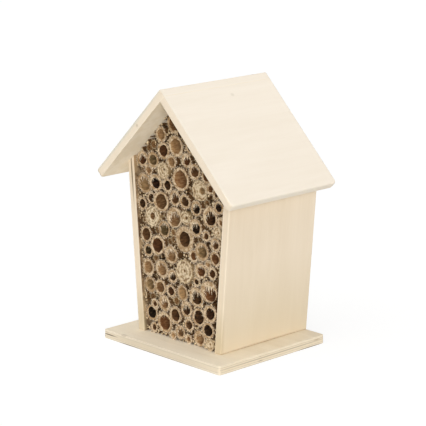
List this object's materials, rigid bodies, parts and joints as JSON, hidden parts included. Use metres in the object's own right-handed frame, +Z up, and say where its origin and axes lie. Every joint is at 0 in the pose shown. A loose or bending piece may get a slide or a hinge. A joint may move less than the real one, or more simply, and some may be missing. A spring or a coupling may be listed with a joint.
{
  "type": "bee hotel",
  "caption": "Small gabled plywood bee hotel on a base board, its open front packed with hollow reeds, bamboo canes, pith stems and twigs.",
  "frame": {"origin": "middle of the base board's underside", "axes": "+Z up, the open front faces -Y, +X to the right of someone looking at the front"},
  "size_m": [0.1174, 0.0894, 0.162],
  "materials": {
    "plywood": "raw sanded plywood",
    "bamboo": "dry cane, saw-cut end",
    "reed": "dry reed, saw-cut end",
    "pith_stem": "dry stem with pale pith",
    "twig": "dry twig",
    "pin_steel": "bright steel"
  },
  "bodies": {
    "house": {"back_panel": "plywood", "base_board": "plywood", "base_pins": "pin_steel", "cane_01": "bamboo", "cane_03": "bamboo", "cane_04": "bamboo", "cane_05": "bamboo", "cane_06": "bamboo", "cane_07": "bamboo", "cane_08": "bamboo", "cane_09": "bamboo", "cane_10": "bamboo", "cane_11": "bamboo", "cane_12": "bamboo", "cane_15": "bamboo", "cane_17": "bamboo", "cane_20": "bamboo", "cane_22": "bamboo", "cane_24": "bamboo", "cane_25": "bamboo", "cane_29": "bamboo", "cane_30": "bamboo", "cane_32": "bamboo", "cane_34": "bamboo", "cane_35": "bamboo", "cane_36": "bamboo", "cane_37": "bamboo", "cane_38": "bamboo", "cane_39": "bamboo", "cane_41": "bamboo", "cane_42": "bamboo", "cane_43": "bamboo", "filling_twigs": "twig", "pith_stem_04": "pith_stem", "ridge_pins": "pin_steel", "roof_board_left": "plywood", "roof_board_right": "plywood", "side_wall_left": "plywood", "side_wall_right": "plywood", "thin_pith_stems": "pith_stem", "thin_reeds_lower": "reed", "thin_reeds_upper": "reed"},
    "cane_02": {"cane_02": "bamboo"},
    "cane_13": {"cane_13": "bamboo"},
    "cane_14": {"cane_14": "bamboo"},
    "cane_16": {"cane_16": "bamboo"},
    "cane_18": {"cane_18": "bamboo"},
    "cane_19": {"cane_19": "bamboo"},
    "cane_21": {"cane_21": "bamboo"},
    "cane_23": {"cane_23": "bamboo"},
    "cane_26": {"cane_26": "bamboo"},
    "cane_27": {"cane_27": "bamboo"},
    "cane_28": {"cane_28": "bamboo"},
    "cane_31": {"cane_31": "bamboo"},
    "cane_33": {"cane_33": "bamboo"},
    "cane_40": {"cane_40": "bamboo"},
    "cane_44": {"cane_44": "bamboo"},
    "pith_stem_01": {"pith_stem_01": "pith_stem"},
    "pith_stem_02": {"pith_stem_02": "pith_stem"},
    "pith_stem_03": {"pith_stem_03": "pith_stem"}
  },
  "joints": [
    {"name": "cane_02_draw", "type": "slide", "parent": "house", "child": "cane_02", "axis": [0, -1, 0], "range_m": [0, 0.0666]},
    {"name": "cane_13_draw", "type": "slide", "parent": "house", "child": "cane_13", "axis": [0, -1, 0], "range_m": [0, 0.0666]},
    {"name": "cane_14_draw", "type": "slide", "parent": "house", "child": "cane_14", "axis": [0, -1, 0], "range_m": [0, 0.0677]},
    {"name": "cane_16_draw", "type": "slide", "parent": "house", "child": "cane_16", "axis": [0, -1, 0], "range_m": [0, 0.0664]},
    {"name": "cane_18_draw", "type": "slide", "parent": "house", "child": "cane_18", "axis": [0, -1, 0], "range_m": [0, 0.0672]},
    {"name": "cane_19_draw", "type": "slide", "parent": "house", "child": "cane_19", "axis": [0, -1, 0], "range_m": [0, 0.0674]},
    {"name": "cane_21_draw", "type": "slide", "parent": "house", "child": "cane_21", "axis": [0, -1, 0], "range_m": [0, 0.0677]},
    {"name": "cane_23_draw", "type": "slide", "parent": "house", "child": "cane_23", "axis": [0, -1, 0], "range_m": [0, 0.0661]},
    {"name": "cane_26_draw", "type": "slide", "parent": "house", "child": "cane_26", "axis": [0, -1, 0], "range_m": [0, 0.0661]},
    {"name": "cane_27_draw", "type": "slide", "parent": "house", "child": "cane_27", "axis": [0, -1, 0], "range_m": [0, 0.0666]},
    {"name": "cane_28_draw", "type": "slide", "parent": "house", "child": "cane_28", "axis": [0, -1, 0], "range_m": [0, 0.0677]},
    {"name": "cane_31_draw", "type": "slide", "parent": "house", "child": "cane_31", "axis": [0, -1, 0], "range_m": [0, 0.0666]},
    {"name": "cane_33_draw", "type": "slide", "parent": "house", "child": "cane_33", "axis": [0, -1, 0], "range_m": [0, 0.0674]},
    {"name": "cane_40_draw", "type": "slide", "parent": "house", "child": "cane_40", "axis": [0, -1, 0], "range_m": [0, 0.0664]},
    {"name": "cane_44_draw", "type": "slide", "parent": "house", "child": "cane_44", "axis": [0, -1, 0], "range_m": [0, 0.0661]},
    {"name": "pith_stem_01_draw", "type": "slide", "parent": "house", "child": "pith_stem_01", "axis": [0, -1, 0], "range_m": [0, 0.0674]},
    {"name": "pith_stem_02_draw", "type": "slide", "parent": "house", "child": "pith_stem_02", "axis": [0, -1, 0], "range_m": [0, 0.0669]},
    {"name": "pith_stem_03_draw", "type": "slide", "parent": "house", "child": "pith_stem_03", "axis": [0, -1, 0], "range_m": [0, 0.0661]}
  ]
}
